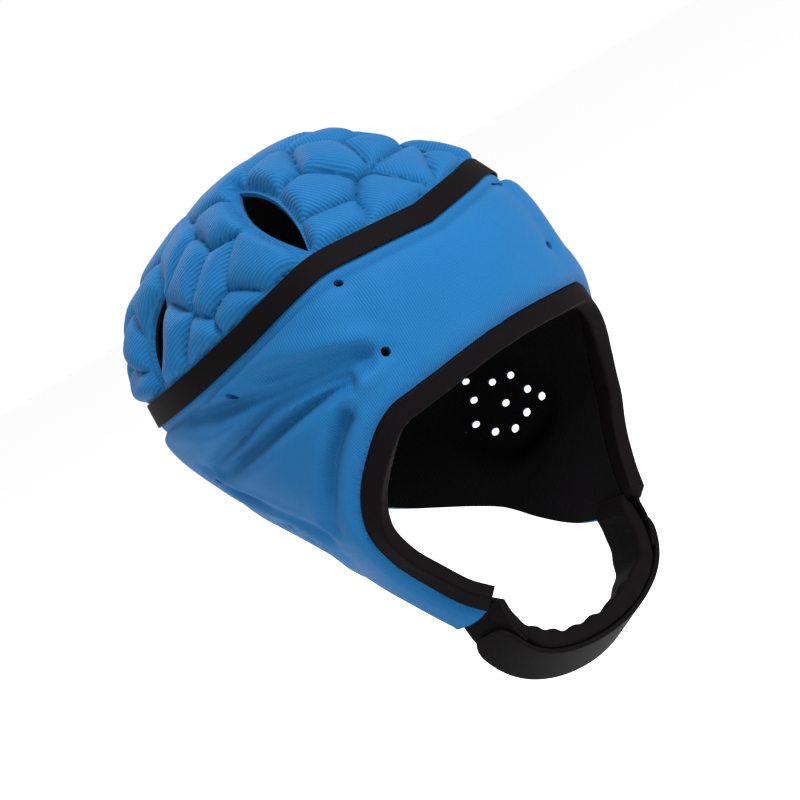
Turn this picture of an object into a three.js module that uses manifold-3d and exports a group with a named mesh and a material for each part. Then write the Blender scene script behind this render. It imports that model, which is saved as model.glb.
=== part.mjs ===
// A rugby scrum cap: foam padding in knitted cloth, a crown of moulded pads over a smooth brow and side
// panel, a black lining, a black tape over the seam, a black binding round the face and a chin strap.
// Millimetres, +Z up, the face opening towards -Y. The origin is where the crown lining sits on the head.
import * as THREE from 'three';
import { mergeVertices } from 'three/addons/utils/BufferGeometryUtils.js';
import Module from 'manifold-3d';

const wasm = await Module();
wasm.setup();

// Overall sizes of the padded shell
const capLength = 209;
const capWidth = 178;
const capDepth = 226;

// Walls
const padding = 9;
const flange = 5.5;
const creaseWall = 4.2;
const lining = 1.2;
const gap = 0.3;

// Flat pressed margins and the width over which a pad swells from them
const flangeWidth = 3.5;
const shoulder = 9;

// Tape, binding and chin strap
const tapeWidth = 11.5;
const tapeThickness = 1.1;
const bindingWidth = 10;
const bindingOverlap = 0.7;
const cheekTipWidth = 22;
// How much wider the cheek tips are cut flat than they come out on the narrower cap below the ears
const cheekTipSpread = 1.5;
const anchorThickness = 1.4;
const chinPadWidth = 27;
const chinPadThickness = 7;
// How far the pad's ends are set up against the curve of the cheek tips
const chinPadSeat = 1.2;
const chinDrop = 38;
const chinSetback = 2;
const chinTilt = 24;
const chinFullness = 2.6;
const strapWidth = 25;
const strapThickness = 2.4;

// Openings
const ventDiameter = 4.6;
const earHoleDiameter = 3.6;

// How finely the walls are faceted
const crownColumns = 50;
const crownRows = 13;
const innerRows = 5;
const liningColumns = 32;
const sideColumns = 50;
const sideRows = 12;
const edgeStep = 8;

// Steps along the chin loop from tip to tip, and how many of them the anchors and the strap's ends take
const chinSteps = 44;
const anchorSteps = 6;
const strapInset = { right: 2, left: 1 };

// Level sections of the padded shell. Depth is a share of capDepth below the crown top, side a share of half
// the width, and front, middle and back are shares of half the length. Fore and aft say how far out the
// section stands half way round from its middle line: 0.71 is an ellipse, less is drawn in.
const sections = [
  { depth: 0.000, side: 0.000, front: -0.057, middle: -0.057, back: -0.057, fore: 0.788, aft: 0.707 },
  { depth: 0.013, side: 0.315, front: -0.354, middle: -0.038, back: 0.268, fore: 0.788, aft: 0.707 },
  { depth: 0.053, side: 0.528, front: -0.574, middle: -0.019, back: 0.526, fore: 0.788, aft: 0.707 },
  { depth: 0.124, side: 0.742, front: -0.756, middle: 0.000, back: 0.756, fore: 0.788, aft: 0.707 },
  { depth: 0.221, side: 0.910, front: -0.928, middle: -0.010, back: 0.880, fore: 0.788, aft: 0.707 },
  { depth: 0.332, side: 0.989, front: -1.033, middle: -0.038, back: 0.947, fore: 0.788, aft: 0.701 },
  { depth: 0.442, side: 1.000, front: -1.053, middle: -0.115, back: 0.928, fore: 0.788, aft: 0.701 },
  { depth: 0.553, side: 1.000, front: -1.043, middle: -0.249, back: 0.842, fore: 0.788, aft: 0.665 },
  { depth: 0.664, side: 0.978, front: -1.005, middle: -0.383, back: 0.727, fore: 0.788, aft: 0.610 },
  { depth: 0.774, side: 0.921, front: -0.947, middle: -0.440, back: 0.612, fore: 0.788, aft: 0.560 },
  { depth: 0.885, side: 0.787, front: -0.900, middle: -0.402, back: 0.536, fore: 0.788, aft: 0.560 },
  { depth: 1.000, side: 0.652, front: -0.871, middle: -0.402, back: 0.478, fore: 0.788, aft: 0.560 },
];

// Lines on the shell. Around is in degrees from the middle of the brow, depth a share of capDepth.
const seamLine = [
  { around: 0, depth: 0.252 },
  { around: 22, depth: 0.239 },
  { around: 36, depth: 0.234 },
  { around: 50, depth: 0.252 },
  { around: 68, depth: 0.288 },
  { around: 88, depth: 0.319 },
  { around: 122, depth: 0.345 },
  { around: 180, depth: 0.363 },
];
const faceEdge = [
  { around: 0, depth: 0.515 },
  { around: 15, depth: 0.518 },
  { around: 25, depth: 0.524 },
  { around: 34, depth: 0.529 },
  { around: 40, depth: 0.533 },
  { around: 48, depth: 0.553 },
  { around: 56, depth: 0.588 },
  { around: 67, depth: 0.642 },
  { around: 77, depth: 0.704 },
  { around: 82, depth: 0.757 },
  { around: 82, depth: 0.819 },
  { around: 77, depth: 0.885 },
  { around: 72, depth: 0.945 },
  { around: 65, depth: 0.984 },
];
// The edge under the ears and round the nape. The right one is turned in a little, as it lies in use.
const neckEdge = [
  { around: 93, right: 0.920, left: 0.996 },
  { around: 99, right: 0.884, left: 0.994 },
  { around: 108, right: 0.850, left: 0.978 },
  { around: 118, right: 0.828, left: 0.940 },
  { around: 128, right: 0.820, left: 0.889 },
  { around: 138, right: 0.812, left: 0.854 },
  { around: 154, right: 0.784, left: 0.803 },
  { around: 168, right: 0.750, left: 0.752 },
  { around: 175, right: 0.741, left: 0.741 },
  { around: 180, right: 0.740, left: 0.740 },
];

// Moulded pads of the crown, one row for the middle of each. Those with pair are on both sides.
const crownPads = [
  { around: 0, depth: 0.071, height: 1.00, pair: false },
  { around: -3, depth: 0.199, height: 0.80, pair: false },
  { around: -21, depth: 0.128, height: 0.88, pair: false },
  { around: -22, depth: 0.173, height: 0.86, pair: false },
  { around: 19, depth: 0.093, height: 0.90, pair: false },
  { around: 18, depth: 0.150, height: 0.82, pair: false },
  { around: 28, depth: 0.204, height: 0.82, pair: false },
  { around: 32, depth: 0.035, height: 0.95, pair: true },
  { around: 56, depth: 0.013, height: 0.95, pair: true },
  { around: 65, depth: 0.071, height: 1.00, pair: true },
  { around: 55, depth: 0.177, height: 0.95, pair: true },
  { around: 68, depth: 0.155, height: 0.92, pair: true },
  { around: 79, depth: 0.124, height: 0.98, pair: true },
  { around: 92, depth: 0.088, height: 0.98, pair: true },
  { around: 62, depth: 0.235, height: 0.90, pair: true },
  { around: 79, depth: 0.262, height: 0.92, pair: true },
  { around: 87, depth: 0.222, height: 0.95, pair: true },
  { around: 110, depth: 0.140, height: 1.00, pair: true },
  { around: 119, depth: 0.212, height: 1.00, pair: true },
  { around: 120, depth: 0.283, height: 0.95, pair: true },
  { around: 135, depth: 0.060, height: 0.95, pair: true },
  { around: 142, depth: 0.150, height: 0.98, pair: true },
  { around: 146, depth: 0.255, height: 0.95, pair: true },
  { around: 180, depth: 0.020, height: 0.95, pair: false },
  { around: 180, depth: 0.110, height: 0.98, pair: false },
  { around: 172, depth: 0.210, height: 0.96, pair: true },
  { around: 167, depth: 0.310, height: 0.92, pair: true },
];

// Eye-shaped cooling slits through the crown, on both sides, from tip to tip
const crownSlits = [
  { name: 'front', from: { around: 53, depth: 0.022 }, to: { around: 35, depth: 0.192 }, width: 14 },
  { name: 'rear', from: { around: 98, depth: 0.115 }, to: { around: 109, depth: 0.305 }, width: 18 },
];

// Valleys pressed into the side padding, on both sides
const creases = [
  [{ around: 31, depth: 0.270 }, { around: 34, depth: 0.372 }, { around: 34, depth: 0.500 }],
  [{ around: 39, depth: 0.429 }, { around: 57, depth: 0.394 }, { around: 74, depth: 0.354 }],
  [{ around: 42, depth: 0.434 }, { around: 71, depth: 0.403 }, { around: 110, depth: 0.363 }],
  [{ around: 48, depth: 0.456 }, { around: 70, depth: 0.464 }, { around: 108, depth: 0.500 }],
  [
    { around: 54, depth: 0.509 },
    { around: 64, depth: 0.558 },
    { around: 76, depth: 0.619 },
    { around: 88, depth: 0.681 },
  ],
  [{ around: 113, depth: 0.549 }, { around: 114, depth: 0.642 }, { around: 98, depth: 0.699 }],
];

const vents = [
  { around: 34, depth: 0.283 },
  { around: 34, depth: 0.442 },
  { around: 79, depth: 0.376 },
  { around: 114, depth: 0.518 },
];
const earHoles = [
  { around: 121, depth: 0.624 },
  { around: 116, depth: 0.650 },
  { around: 111, depth: 0.655 },
  { around: 110, depth: 0.695 },
  { around: 108, depth: 0.721 },
  { around: 123, depth: 0.664 },
  { around: 117, depth: 0.699 },
  { around: 114, depth: 0.735 },
  { around: 127, depth: 0.708 },
  { around: 124, depth: 0.739 },
  { around: 119, depth: 0.752 },
];

const blue = { color: '#2f82c0', roughness: 0.8, metalness: 0 };
const black = { color: '#17141a', roughness: 0.85, metalness: 0 };

const radians = THREE.MathUtils.degToRad;
const flatRadius = capWidth / 2;

// A smooth curve through a table's values, with the slope at each row taken from its neighbours.
function curveThrough(keys, values) {
  const last = keys.length - 1;
  const slopes = keys.map((key, row) => {
    const before = Math.max(row - 1, 0);
    const after = Math.min(row + 1, last);
    return (values[after] - values[before]) / (keys[after] - keys[before]);
  });
  return (key) => {
    let row = 0;
    while (row < last - 1 && key > keys[row + 1]) row += 1;
    const span = keys[row + 1] - keys[row];
    const share = (key - keys[row]) / span;
    const rest = 1 - share;
    const start = rest * rest * ((1 + 2 * share) * values[row] + share * span * slopes[row]);
    const end = share * share * ((1 + 2 * rest) * values[row + 1] - rest * span * slopes[row + 1]);
    return start + end;
  };
}

function columnCurve(rows, key, column) {
  return curveThrough(rows.map((row) => row[key]), rows.map((row) => row[column]));
}

// The outside of the swollen padding, as a point for each direction around and depth below the crown top.
const sectionColumns = ['side', 'front', 'middle', 'back', 'fore', 'aft'];
const levels = sections.map((row) => Math.sqrt(row.depth));
const sectionCurves = sectionColumns.map((column) => curveThrough(levels, sections.map((row) => row[column])));
const crownTop = padding + gap + lining;

function formPoint(around, depth) {
  const level = Math.sqrt(Math.max(depth, 0) / capDepth);
  const [side, front, middle, back, fore, aft] = sectionCurves.map((curve) => curve(level));
  const corner = (x, y) => new THREE.Vector3((x * capWidth) / 2, (y * capLength) / 2, crownTop - depth);
  const brow = middle + (front - middle) * fore;
  const rear = middle + (back - middle) * aft;
  const ring = [
    corner(0, front),
    corner(side * fore, brow),
    corner(side, middle),
    corner(side * aft, rear),
    corner(0, back),
    corner(-side * aft, rear),
    corner(-side, middle),
    corner(-side * fore, brow),
  ];
  const turn = around / (2 * Math.PI);
  return new THREE.CatmullRomCurve3(ring, true, 'catmullrom', 0.5).getPoint(turn - Math.floor(turn));
}

function outward(around, depth) {
  const turnStep = 0.02;
  const depthStep = 0.4;
  const sideways = formPoint(around + turnStep, depth).sub(formPoint(around - turnStep, depth));
  const downwards = formPoint(around, depth + depthStep).sub(formPoint(around, Math.max(depth - depthStep, 0)));
  const normal = downwards.cross(sideways);
  return normal.length() > 1e-6 && depth > 0 ? normal.normalize() : new THREE.Vector3(0, 0, 1);
}

// A point of the cap at a height over the inner face of the padding.
function onCap(around, depth, height) {
  return formPoint(around, depth).addScaledVector(outward(around, depth), height - padding);
}

const seamShare = columnCurve(seamLine, 'around', 'depth');
function seamDepth(around) {
  const turned = Math.abs(THREE.MathUtils.euclideanModulo(around + Math.PI, 2 * Math.PI) - Math.PI);
  return seamShare(THREE.MathUtils.radToDeg(turned)) * capDepth;
}

// Solids: a bare closed geometry, its change to and from the solid library, and its bending
function bareGeometry(geometry) {
  const bare = geometry.clone();
  bare.deleteAttribute('normal');
  bare.deleteAttribute('uv');
  return mergeVertices(bare, 1e-4);
}

function asSolid(geometry) {
  const bare = bareGeometry(geometry);
  const position = bare.getAttribute('position');
  const index = bare.getIndex();
  const triangles = [];
  for (let i = 0; i < index.count; i += 3) {
    const [a, b, c] = [index.getX(i), index.getX(i + 1), index.getX(i + 2)];
    if (a !== b && b !== c && c !== a) triangles.push(a, b, c);
  }
  let volume = 0;
  const corners = [new THREE.Vector3(), new THREE.Vector3(), new THREE.Vector3()];
  for (let i = 0; i < triangles.length; i += 3) {
    corners.forEach((corner, k) => corner.fromBufferAttribute(position, triangles[i + k]));
    volume += corners[0].dot(corners[1].cross(corners[2]));
  }
  if (volume < 0) triangles.reverse();
  return new wasm.Manifold(new wasm.Mesh({
    numProp: 3,
    vertProperties: Float32Array.from(position.array),
    triVerts: Uint32Array.from(triangles),
  }));
}

function asGeometry(solid) {
  const mesh = solid.getMesh();
  const geometry = new THREE.BufferGeometry();
  geometry.setAttribute('position', new THREE.BufferAttribute(Float32Array.from(mesh.vertProperties), 3));
  geometry.setIndex(Array.from(mesh.triVerts));
  return geometry;
}

function bend(geometry, place) {
  const bent = bareGeometry(geometry);
  const position = bent.getAttribute('position');
  const point = new THREE.Vector3();
  for (let i = 0; i < position.count; i += 1) {
    const placed = place(point.fromBufferAttribute(position, i));
    position.setXYZ(i, placed.x, placed.y, placed.z);
  }
  return bent;
}

// The padding's relief
function swell(distance, width) {
  const share = THREE.MathUtils.clamp(distance / width, 0, 1);
  return 1 - (1 - share) ** 2;
}

const bothSides = (row) => [{ ...row, around: row.around }, { ...row, around: -row.around }];
const padMiddles = crownPads
  .flatMap((row) => (row.pair ? bothSides(row) : [row]))
  .map((row) => ({ height: row.height, at: formPoint(radians(row.around), row.depth * capDepth) }));

const slits = crownSlits.flatMap((slit) => [1, -1].map((side) => {
  const end = (tip) => onCap(side * radians(tip.around), tip.depth * capDepth, flange);
  const from = end(slit.from);
  const to = end(slit.to);
  const middleTurn = (side * radians(slit.from.around + slit.to.around)) / 2;
  const middleDepth = ((slit.from.depth + slit.to.depth) / 2) * capDepth;
  const along = to.clone().sub(from).normalize();
  const across = outward(middleTurn, middleDepth).cross(along).normalize();
  return {
    width: slit.width,
    length: from.distanceTo(to),
    middle: from.clone().add(to).multiplyScalar(0.5),
    along,
    across,
    through: along.clone().cross(across).normalize(),
  };
}));

function slitHalfWidth(slit, run) {
  const share = THREE.MathUtils.clamp((2 * run) / slit.length, -1, 1);
  return (slit.width / 2) * (1 - share * share);
}

function distanceToSlit(point, slit) {
  const reach = point.clone().sub(slit.middle);
  const run = reach.dot(slit.along);
  const beyond = Math.max(Math.abs(run) - slit.length / 2, 0);
  const aside = Math.abs(reach.dot(slit.across)) - slitHalfWidth(slit, run);
  return Math.hypot(beyond, Math.max(aside, 0));
}

function crownHeight(around, depth) {
  const point = formPoint(around, depth);
  const byDistance = padMiddles
    .map((pad) => ({ pad, distance: point.distanceTo(pad.at) }))
    .sort((a, b) => a.distance - b.distance);
  const [nearest, next] = byDistance;
  const spread = nearest.pad.at.distanceTo(next.pad.at);
  const toEdge = (next.distance ** 2 - nearest.distance ** 2) / (2 * spread);
  const pad = creaseWall + (padding * nearest.pad.height - creaseWall) * swell(toEdge, shoulder);
  const seamPoint = formPoint(around, seamDepth(around));
  const toSeam = point.distanceTo(seamPoint) - tapeWidth / 2 - flangeWidth;
  const toSlit = Math.min(...slits.map((slit) => distanceToSlit(point, slit))) - flangeWidth;
  return flange + (pad - flange) * swell(Math.min(toSeam, toSlit), shoulder);
}

// The side panel and its lining are cut flat, with x along the seam and y down from it, and then bent.
const flatX = (around) => around * flatRadius;
const flatPoint = (around, depth) => new THREE.Vector2(flatX(around), depth - seamDepth(around));

function edgePoints(points) {
  const curve = new THREE.SplineCurve(points);
  return curve.getSpacedPoints(Math.ceil(curve.getLength() / edgeStep));
}

const faceCorner = faceEdge[faceEdge.length - 1];
const flatRows = (rows, side, column) => rows.map(
  (row) => flatPoint(side * radians(row.around), row[column] * capDepth),
);
const faceLine = edgePoints([
  ...flatRows(faceEdge.slice(1), -1, 'depth').reverse(),
  ...flatRows(faceEdge, 1, 'depth'),
]);
const faceEnd = flatPoint(radians(faceCorner.around), faceCorner.depth * capDepth);
const tipBack = faceCorner.around + THREE.MathUtils.radToDeg(cheekTipWidth / flatRadius) * cheekTipSpread;
const flatBottom = capDepth;

function neckLine(side, column) {
  const tip = flatPoint(side * radians(tipBack), faceCorner.depth * capDepth);
  return edgePoints([tip, ...flatRows(neckEdge, side, column)]);
}

const neckLines = [neckLine(1, 'left'), neckLine(-1, 'right')];

function cutter(points) {
  const prism = new THREE.ExtrudeGeometry(new THREE.Shape(points), { depth: 3, bevelEnabled: false });
  return asSolid(prism.translate(0, 0, -1));
}

function openingCutter() {
  return cutter([
    ...faceLine,
    new THREE.Vector2(faceEnd.x, flatBottom),
    new THREE.Vector2(-faceEnd.x, flatBottom),
  ]);
}

function neckCutter(line) {
  const beyond = Math.sign(line[0].x) * (flatX(Math.PI) + flangeWidth);
  return cutter([
    new THREE.Vector2(Math.sign(line[0].x) * faceEnd.x, faceEnd.y),
    ...line,
    new THREE.Vector2(beyond, line[line.length - 1].y),
    new THREE.Vector2(beyond, flatBottom),
    new THREE.Vector2(Math.sign(line[0].x) * faceEnd.x, flatBottom),
  ]);
}

// A round hole's outline in the flat, widened or narrowed where bending stretches the cloth.
function holeCutter(row, side, diameter, corners) {
  const around = side * radians(row.around);
  const depth = row.depth * capDepth;
  const step = 1;
  const here = formPoint(around, depth);
  const stretchX = formPoint(around + step / flatRadius, depth).distanceTo(here) / step;
  const stretchY = formPoint(around, depth + step).distanceTo(here) / step;
  const middle = flatPoint(around, depth);
  const outline = Array.from({ length: corners }, (_, i) => {
    const angle = (2 * Math.PI * i) / corners;
    return new THREE.Vector2(
      middle.x + ((diameter / 2) * Math.cos(angle)) / stretchX,
      middle.y + ((diameter / 2) * Math.sin(angle)) / stretchY,
    );
  });
  return cutter(outline);
}

const sideCutters = [
  openingCutter(),
  ...neckLines.map(neckCutter),
  ...vents.flatMap((row) => [1, -1].map((side) => holeCutter(row, side, ventDiameter, 7))),
  ...earHoles.flatMap((row) => [1, -1].map((side) => holeCutter(row, side, earHoleDiameter, 5))),
];

function sidePanelFlat() {
  const length = 2 * flatX(Math.PI) - gap;
  const slab = new THREE.BoxGeometry(length, 1, 1, sideColumns, sideRows, 1);
  const firstRow = tapeWidth / 2 + flangeWidth;
  const rowStep = (flatBottom - seamDepth(0) - firstRow) / (sideRows - 1);
  const shaped = bend(slab, (point) => {
    const row = Math.round((point.y + 0.5) * sideRows);
    const drop = row === 0 ? gap / 2 : firstRow + (row - 1) * rowStep;
    return new THREE.Vector3(point.x, drop, point.z + 0.5);
  });
  return asGeometry(sideCutters.reduce((solid, tool) => solid.subtract(tool), asSolid(shaped)));
}

function distanceToLine(point, line) {
  let nearest = Infinity;
  for (let i = 0; i + 1 < line.length; i += 1) {
    const run = line[i + 1].clone().sub(line[i]);
    const share = THREE.MathUtils.clamp(point.clone().sub(line[i]).dot(run) / run.lengthSq(), 0, 1);
    nearest = Math.min(nearest, point.distanceTo(line[i].clone().addScaledVector(run, share)));
  }
  return nearest;
}

const creaseLines = creases.flatMap((crease) => [1, -1].map((side) => flatRows(crease, side, 'depth')));

function sideHeight(around, depth) {
  const point = flatPoint(around, depth);
  const toCrease = Math.min(...creaseLines.map((line) => distanceToLine(point, line)));
  const toEdge = Math.min(
    point.y - tapeWidth / 2,
    distanceToLine(point, faceLine),
  ) - flangeWidth;
  const pad = creaseWall + (padding - creaseWall) * swell(toCrease, shoulder);
  return flange + (pad - flange) * swell(toEdge, shoulder);
}

const sidePanel = sidePanelFlat();

// Bends the flat panel, with its lower face at one height and its upper face at another.
function bendSide(innerHeight, outerHeight) {
  return asSolid(bend(sidePanel, (point) => {
    const around = point.x / flatRadius;
    const depth = point.y + seamDepth(around);
    const low = innerHeight;
    const high = outerHeight(around, depth);
    return onCap(around, depth, low + (high - low) * point.z);
  }));
}

// The crown and its lining are lathed discs with an outer and an inner face, bent over the head. A share of
// the disc's radius is a place between the crown top and the seam.
function plainDepth(around, share) {
  return share ** 2 * (seamDepth(around) - gap / 2);
}

// The padded face has its last but one row where the flat margin beside the tape ends.
function paddedDepth(around, share) {
  const lastPadded = 1 - 1 / crownRows;
  if (share > lastPadded + 0.5 / crownRows) return seamDepth(around) - gap / 2;
  const seam = seamDepth(around);
  const slope = formPoint(around, seam).distanceTo(formPoint(around, seam - 1));
  const margin = (tapeWidth / 2 + flangeWidth) / slope;
  return (share / lastPadded) ** 2 * (seam - margin);
}

function crownWall(columns, rows, outerDepth, innerHeight, outerHeight) {
  const outerFace = Array.from({ length: rows + 1 }, (_, i) => new THREE.Vector2(i / rows, 1));
  const innerFace = Array.from({ length: innerRows + 1 }, (_, i) => new THREE.Vector2(1 - i / innerRows, 0));
  const disc = new THREE.LatheGeometry([...outerFace, ...innerFace], columns);
  const bent = bend(disc, (point) => {
    const around = Math.atan2(point.x, point.z);
    const share = Math.hypot(point.x, point.z);
    const outer = point.y > 0.5;
    const depth = outer ? outerDepth(around, share) : plainDepth(around, share);
    return onCap(around, depth, outer ? outerHeight(around, depth) : innerHeight);
  });
  return slits.reduce((solid, slit) => solid.subtract(slitCutter(slit)), asSolid(bent));
}

function slitCutter(slit) {
  const steps = 7;
  const runs = Array.from({ length: steps + 1 }, (_, i) => slit.length * (i / steps - 0.5));
  const outline = [
    ...runs.map((run) => new THREE.Vector2(run, slitHalfWidth(slit, run))),
    ...runs.slice(1, -1).reverse().map((run) => new THREE.Vector2(run, -slitHalfWidth(slit, run))),
  ];
  const reach = 4 * padding;
  const prism = new THREE.ExtrudeGeometry(new THREE.Shape(outline), { depth: 2 * reach, bevelEnabled: false });
  prism.translate(0, 0, -reach);
  prism.applyMatrix4(new THREE.Matrix4().makeBasis(slit.along, slit.across, slit.through));
  prism.translate(slit.middle.x, slit.middle.y, slit.middle.z);
  return asSolid(prism);
}

// A flat section with cut corners, swept along a path of frames. Frames give a point and two directions.
function sweep(across, up, steps, frameAt) {
  const cut = Math.min(across[1] - across[0], up[1] - up[0]) / 4;
  const section = new THREE.Shape([
    new THREE.Vector2(across[0] + cut, up[0]),
    new THREE.Vector2(across[1] - cut, up[0]),
    new THREE.Vector2(across[1], up[0] + cut),
    new THREE.Vector2(across[1], up[1] - cut),
    new THREE.Vector2(across[1] - cut, up[1]),
    new THREE.Vector2(across[0] + cut, up[1]),
    new THREE.Vector2(across[0], up[1] - cut),
    new THREE.Vector2(across[0], up[0] + cut),
  ]);
  const straight = new THREE.ExtrudeGeometry(section, { depth: 1, steps, bevelEnabled: false });
  return asSolid(bend(straight, (point) => {
    const frame = frameAt(point.z);
    return frame.at.clone().addScaledVector(frame.across, point.x).addScaledVector(frame.up, point.y);
  }));
}

// The tape lies over the seam between crown and side panel, all round.
function tapeRing() {
  const low = flange + gap;
  const high = low + tapeThickness;
  const radius = 10 * tapeThickness;
  const ring = new THREE.LatheGeometry([
    new THREE.Vector2(radius + low, -tapeWidth / 2),
    new THREE.Vector2(radius + high, -tapeWidth / 2),
    new THREE.Vector2(radius + high, tapeWidth / 2),
    new THREE.Vector2(radius + low, tapeWidth / 2),
    new THREE.Vector2(radius + low, -tapeWidth / 2),
  ], crownColumns);
  return asSolid(bend(ring, (point) => {
    const around = Math.atan2(point.x, point.z);
    const step = 0.02;
    const seamPoint = (turn) => onCap(turn, seamDepth(turn), 0);
    const along = seamPoint(around + step).sub(seamPoint(around - step)).normalize();
    const up = outward(around, seamDepth(around));
    const across = along.clone().cross(up).normalize();
    const lift = Math.hypot(point.x, point.z) - radius;
    return seamPoint(around).addScaledVector(up, lift).addScaledVector(across, -point.y);
  }));
}

// The binding runs along the face edge from one cheek tip over the brow to the other.
const faceCurve = new THREE.CatmullRomCurve3(
  faceLine.map((point) => new THREE.Vector3(point.x, point.y, 0)),
);
function bindingFrame(share) {
  const turnAndDepth = (at) => {
    const flat = faceCurve.getPointAt(THREE.MathUtils.clamp(at, 0, 1));
    const around = flat.x / flatRadius;
    return [around, flat.y + seamDepth(around)];
  };
  const step = 0.004;
  const along = onCap(...turnAndDepth(share + step), 0).sub(onCap(...turnAndDepth(share - step), 0)).normalize();
  const up = outward(...turnAndDepth(share));
  const across = along.clone().cross(up).normalize();
  return { at: onCap(...turnAndDepth(share), 0), across, up };
}

// The chin loop hangs between the cheek tips. Share runs from -1, the right tip, to 1, the left.
function cheekTip(side) {
  const turn = side * radians((faceCorner.around + tipBack) / 2);
  return onCap(turn, faceCorner.depth * capDepth + gap + chinPadThickness / 2 - chinPadSeat, 0);
}
function cheekTipDirection(side) {
  const end = (degrees) => onCap(side * radians(degrees), faceCorner.depth * capDepth, 0);
  return end(faceCorner.around).sub(end(tipBack)).normalize();
}
const tips = { right: cheekTip(-1), left: cheekTip(1) };
const tipDirections = { right: cheekTipDirection(-1), left: cheekTipDirection(1) };
const chinForward = new THREE.Vector3(0, -Math.cos(radians(chinTilt)), Math.sin(radians(chinTilt)));

function chinPoint(share) {
  const angle = (share * Math.PI) / 2;
  const sink = Math.max(Math.cos(angle), 0);
  const tip = share < 0 ? tips.right : tips.left;
  return new THREE.Vector3(
    Math.abs(tip.x) * Math.sin(angle),
    tip.y - chinSetback * sink,
    tip.z - chinDrop * sink ** (2 / chinFullness),
  );
}

function chinFrame(share) {
  const step = 0.01;
  const along = chinPoint(Math.min(share + step, 1)).sub(chinPoint(Math.max(share - step, -1))).normalize();
  const tipShare = share ** 2;
  const tipDirection = share < 0 ? tipDirections.right : tipDirections.left;
  const forward = chinForward.clone().lerp(tipDirection, tipShare);
  const across = forward.addScaledVector(along, -forward.dot(along)).normalize();
  return { at: chinPoint(share), across, up: along.clone().cross(across).normalize() };
}

function chinRun(from, to, width, low, high) {
  const shareAt = (step) => (2 * step) / chinSteps - 1;
  const across = [-width / 2, width / 2];
  return sweep(across, [low, high], to - from, (run) => chinFrame(shareAt(from + (to - from) * run)));
}

const anchorLow = gap;
const anchorHigh = anchorLow + anchorThickness;
const strapLow = anchorHigh + gap;
const strapHigh = strapLow + strapThickness;
const anchorRun = (from, to) => chinRun(from, to, cheekTipWidth, anchorLow, anchorHigh);

function named(name, solid, finish) {
  const mesh = new THREE.Mesh(asGeometry(solid), new THREE.MeshStandardMaterial(finish));
  mesh.name = name;
  return mesh;
}

const liningTop = -gap;
const liningBottom = -gap - lining;

const scrumCap = new THREE.Group();
scrumCap.add(
  named('crown_padding', crownWall(crownColumns, crownRows, paddedDepth, 0, crownHeight), blue),
  named('side_padding', bendSide(0, sideHeight), blue),
  named('crown_lining', crownWall(liningColumns, innerRows, plainDepth, liningTop, () => liningBottom), black),
  named('side_lining', bendSide(liningTop, () => liningBottom), black),
  named('seam_tape', tapeRing(), black),
  named('face_binding', sweep(
    [gap, gap + bindingWidth],
    [liningBottom, flange + bindingOverlap],
    faceLine.length - 1,
    bindingFrame,
  ), black),
  named('chin_pad', chinRun(0, chinSteps, chinPadWidth, -chinPadThickness, 0), black),
  named('strap_anchor_right', anchorRun(0, anchorSteps), black),
  named('strap_anchor_left', anchorRun(chinSteps - anchorSteps, chinSteps), black),
  named(
    'chin_strap',
    chinRun(strapInset.right, chinSteps - strapInset.left, strapWidth, strapLow, strapHigh),
    black,
  ),
);

export default scrumCap;
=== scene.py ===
# Rugby scrum cap: a foam-padded cap in blue ribbed knit, with black tape, binding, lining and chin strap.
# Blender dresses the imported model. Everything is in metres, in the model's frame, +Z up, face towards -Y.
import math

import bpy
import numpy as np
from mathutils import Matrix, Vector
from mathutils.geometry import delaunay_2d_cdt


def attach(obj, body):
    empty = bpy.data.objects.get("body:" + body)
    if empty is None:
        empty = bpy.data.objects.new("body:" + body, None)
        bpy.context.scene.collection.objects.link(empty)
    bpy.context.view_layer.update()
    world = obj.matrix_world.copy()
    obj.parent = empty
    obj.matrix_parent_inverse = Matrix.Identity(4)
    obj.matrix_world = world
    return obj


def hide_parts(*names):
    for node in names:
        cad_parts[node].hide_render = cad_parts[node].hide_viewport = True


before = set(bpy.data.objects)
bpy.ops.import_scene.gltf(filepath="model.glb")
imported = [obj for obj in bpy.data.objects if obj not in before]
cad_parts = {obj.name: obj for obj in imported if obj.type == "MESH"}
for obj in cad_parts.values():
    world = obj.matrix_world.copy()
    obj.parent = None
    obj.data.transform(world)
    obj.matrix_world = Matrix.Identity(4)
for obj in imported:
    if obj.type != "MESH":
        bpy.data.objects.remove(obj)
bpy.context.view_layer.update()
bpy.ops.object.select_all(action="DESELECT")
mm = 0.001

# Camera, floor and light
# A long lens looks at the cap's right front from just above its brow, rolled so that the cap leans back in
# the picture. The floor and the light are pale and plain, as in a studio.
view_turn = math.radians(38.7)
view_rise = math.radians(4.1)
view_roll = math.radians(-30.4)
view_distance = 1.6
pixels_per_metre = 2210
frame_pixels = 800
sensor_width = 36
target = Vector((0, -10 * mm, -109.5 * mm))
target_pixel = (379.0, 391.4)

back = Vector((
    -math.sin(view_turn) * math.cos(view_rise),
    -math.cos(view_turn) * math.cos(view_rise),
    math.sin(view_rise),
))
level_right = Vector((math.cos(view_turn), -math.sin(view_turn), 0))
level_up = level_right.cross(-back)
picture_right = level_right * math.cos(view_roll) + level_up * math.sin(view_roll)
picture_up = level_up * math.cos(view_roll) - level_right * math.sin(view_roll)
aside = (frame_pixels / 2 - target_pixel[0]) / pixels_per_metre
below = (frame_pixels / 2 - target_pixel[1]) / pixels_per_metre

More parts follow.
